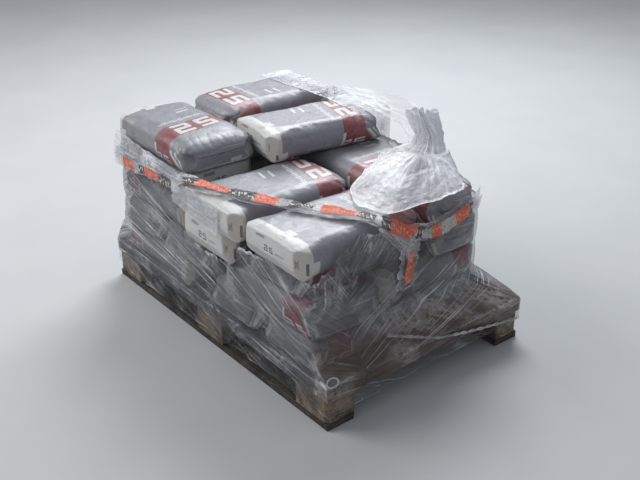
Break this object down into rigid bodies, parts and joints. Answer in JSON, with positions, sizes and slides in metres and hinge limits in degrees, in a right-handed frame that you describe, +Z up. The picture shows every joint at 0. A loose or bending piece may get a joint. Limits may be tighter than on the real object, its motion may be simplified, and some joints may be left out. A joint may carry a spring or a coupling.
{
  "type": "pallet of sacks",
  "caption": "Wooden block pallet carrying a part-unloaded stack of filled sacks, with torn stretch film and tape still round the load.",
  "frame": {"origin": "on the floor under the middle of the pallet, on the underside of its middle bottom board", "axes": "+X along the pallet's 1200 mm side, +Y along its 800 mm side, +Z up"},
  "size_m": [1.2183, 0.8475, 0.7412],
  "materials": {
    "board_wood": "weathered, dirty sawn softwood",
    "block_wood": "weathered, dirty sawn softwood",
    "sack_skin": "satin coated paper, creased",
    "stretch_film": "clear stretch film, crumpled",
    "printed_tape": "printed tape, worn"
  },
  "bodies": {
    "root": {"bottom_board_front": "board_wood", "bottom_board_middle": "board_wood", "bottom_board_rear": "board_wood", "block_front_left": "block_wood", "block_front_centre": "block_wood", "block_front_right": "block_wood", "block_middle_left": "block_wood", "block_middle_centre": "block_wood", "block_rear_left": "block_wood", "block_rear_centre": "block_wood", "block_rear_right": "block_wood", "cross_board_left": "board_wood", "cross_board_centre": "board_wood", "cross_board_right": "board_wood", "deck_board_1": "board_wood", "deck_board_2": "board_wood", "deck_board_3": "board_wood", "deck_board_4": "board_wood", "deck_board_5": "board_wood", "sack_1_front_left": "sack_skin", "sack_1_rear_left": "sack_skin", "sack_1_rear_middle": "sack_skin", "sack_1_front_middle": "sack_skin", "sack_1_front_right": "sack_skin", "sack_1_rear_right": "sack_skin", "sack_2_front_left": "sack_skin", "sack_2_front_middle": "sack_skin", "sack_2_rear_left": "sack_skin", "sack_2_front_right": "sack_skin", "sack_2_rear_middle": "sack_skin", "sack_2_rear_right": "sack_skin", "sack_3_front_left": "sack_skin", "sack_3_rear_left": "sack_skin", "sack_3_front_middle": "sack_skin", "sack_3_front_right": "sack_skin", "sack_3_rear_middle": "sack_skin", "sack_3_rear_right": "sack_skin", "sack_4_front_left": "sack_skin", "sack_4_rear_left": "sack_skin", "sack_4_front_middle": "sack_skin", "sack_4_front_right": "sack_skin", "sack_4_rear_middle": "sack_skin", "sack_4_rear_right": "sack_skin", "sack_5_front_left": "sack_skin", "sack_5_rear_left": "sack_skin", "sack_5_rear_middle": "sack_skin", "film_skirt": "stretch_film", "film_hem": "stretch_film", "film_collar": "stretch_film", "film_heap": "stretch_film", "film_back_sheet": "stretch_film", "film_rope": "stretch_film", "printed_tape": "printed_tape", "tape_tail": "printed_tape"}
  },
  "joints": []
}
